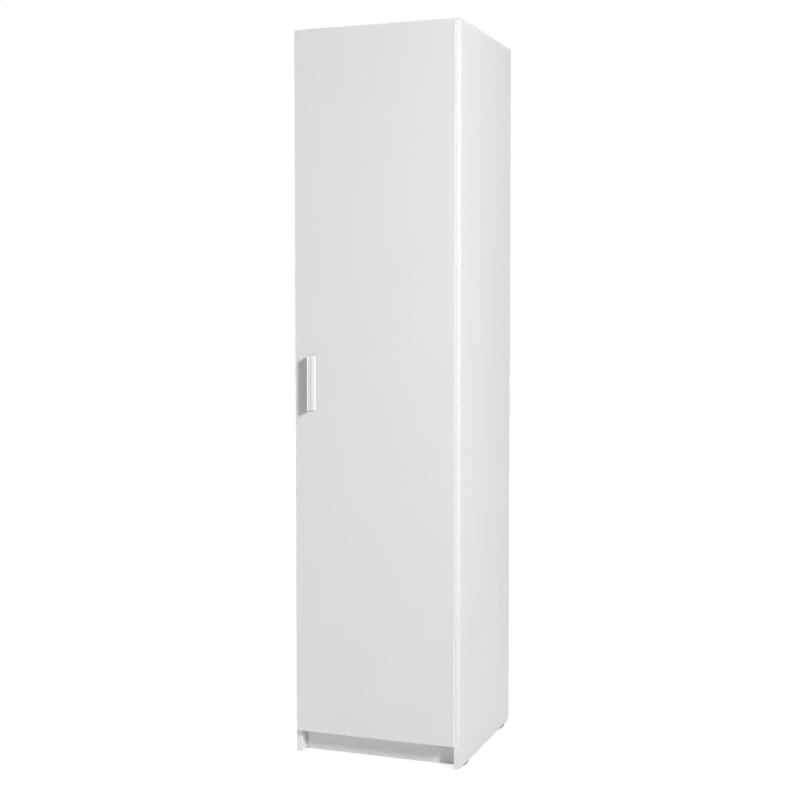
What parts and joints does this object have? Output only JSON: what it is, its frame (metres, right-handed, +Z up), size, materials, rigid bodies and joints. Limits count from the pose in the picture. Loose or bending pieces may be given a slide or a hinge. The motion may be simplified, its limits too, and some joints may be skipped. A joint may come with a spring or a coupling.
{
  "type": "wardrobe",
  "caption": "Tall narrow white wardrobe with a full-height door on concealed hinges, an angle-profile pull, a hat shelf and a clothes rail.",
  "frame": {"origin": "on the floor under the middle of the object's box", "axes": "+Z up, -Y out of the door's face, +X towards the hinge side"},
  "size_m": [0.4728, 0.524, 1.97],
  "materials": {
    "white_board": "white melamine on particle board, satin",
    "white_hardboard": "hardboard with a white printed face",
    "white_plastic": "white screw cap",
    "black_plastic": "moulded black glide",
    "clear_buffer": "soft translucent buffer",
    "aluminium": "satin anodised",
    "nickel": "nickel plated steel",
    "chrome": "chrome plated steel",
    "zinc": "zinc plated screw",
    "beech": "bare beech dowel"
  },
  "bodies": {
    "carcass": {"back_panel": "white_hardboard", "bottom_panel": "white_board", "capped_screw_bottom_front_left": "white_plastic", "capped_screw_bottom_front_right": "white_plastic", "capped_screw_bottom_rear_left": "white_plastic", "capped_screw_bottom_rear_right": "white_plastic", "capped_screw_plinth_left": "white_plastic", "capped_screw_plinth_right": "white_plastic", "capped_screw_top_front_left": "white_plastic", "capped_screw_top_front_right": "white_plastic", "capped_screw_top_rear_left": "white_plastic", "capped_screw_top_rear_right": "white_plastic", "clothes_rail": "chrome", "dowel_bottom_left": "beech", "dowel_bottom_right": "beech", "dowel_top_left": "beech", "dowel_top_right": "beech", "glide_front_left": "black_plastic", "glide_front_right": "black_plastic", "glide_rear_left": "black_plastic", "glide_rear_right": "black_plastic", "hat_shelf": "white_board", "hinge_arm_1": "nickel", "hinge_arm_2": "nickel", "hinge_arm_3": "nickel", "hinge_arm_screw_1": "nickel", "hinge_arm_screw_2": "nickel", "hinge_arm_screw_3": "nickel", "hinge_plate_1": "nickel", "hinge_plate_2": "nickel", "hinge_plate_3": "nickel", "plinth_board": "white_board", "rail_screw_lower_left": "zinc", "rail_screw_lower_right": "zinc", "rail_screw_upper_left": "zinc", "rail_screw_upper_right": "zinc", "rail_socket_left": "chrome", "rail_socket_right": "chrome", "shelf_pin_front_left": "nickel", "shelf_pin_front_right": "nickel", "shelf_pin_rear_left": "nickel", "shelf_pin_rear_right": "nickel", "side_panel_left": "white_board", "side_panel_right": "white_board", "top_panel": "white_board"},
    "outer_links": {"outer_link_1": "nickel", "outer_link_2": "nickel", "outer_link_3": "nickel"},
    "inner_links": {"inner_link_1": "nickel", "inner_link_2": "nickel", "inner_link_3": "nickel"},
    "door": {"door_buffer_lower": "clear_buffer", "door_buffer_upper": "clear_buffer", "door_panel": "white_board", "hinge_cup_1": "nickel", "hinge_cup_2": "nickel", "hinge_cup_3": "nickel", "pull": "aluminium", "pull_screw_lower": "nickel", "pull_screw_upper": "nickel"}
  },
  "joints": [
    {"name": "outer_link_turn", "type": "hinge", "parent": "carcass", "child": "outer_links", "pos_m": [0.191, -0.2233, 1.015], "axis": [0, 0, 1], "range_deg": [-40, 0]},
    {"name": "door_swing", "type": "hinge", "parent": "outer_links", "child": "door", "pos_m": [0.2108, -0.2259, 1.015], "axis": [0, 0, 1], "range_deg": [0, 133.95]},
    {"name": "inner_link_turn", "type": "hinge", "parent": "carcass", "child": "inner_links", "pos_m": [0.1946, -0.2282, 1.015], "axis": [0, 0, 1], "range_deg": [-30.3, 0]}
  ],
  "couplings": [
    {"joint": "outer_link_turn", "follows": "door_swing", "ratio": -0.29078},
    {"joint": "inner_link_turn", "follows": "door_swing", "ratio": -0.21986}
  ]
}
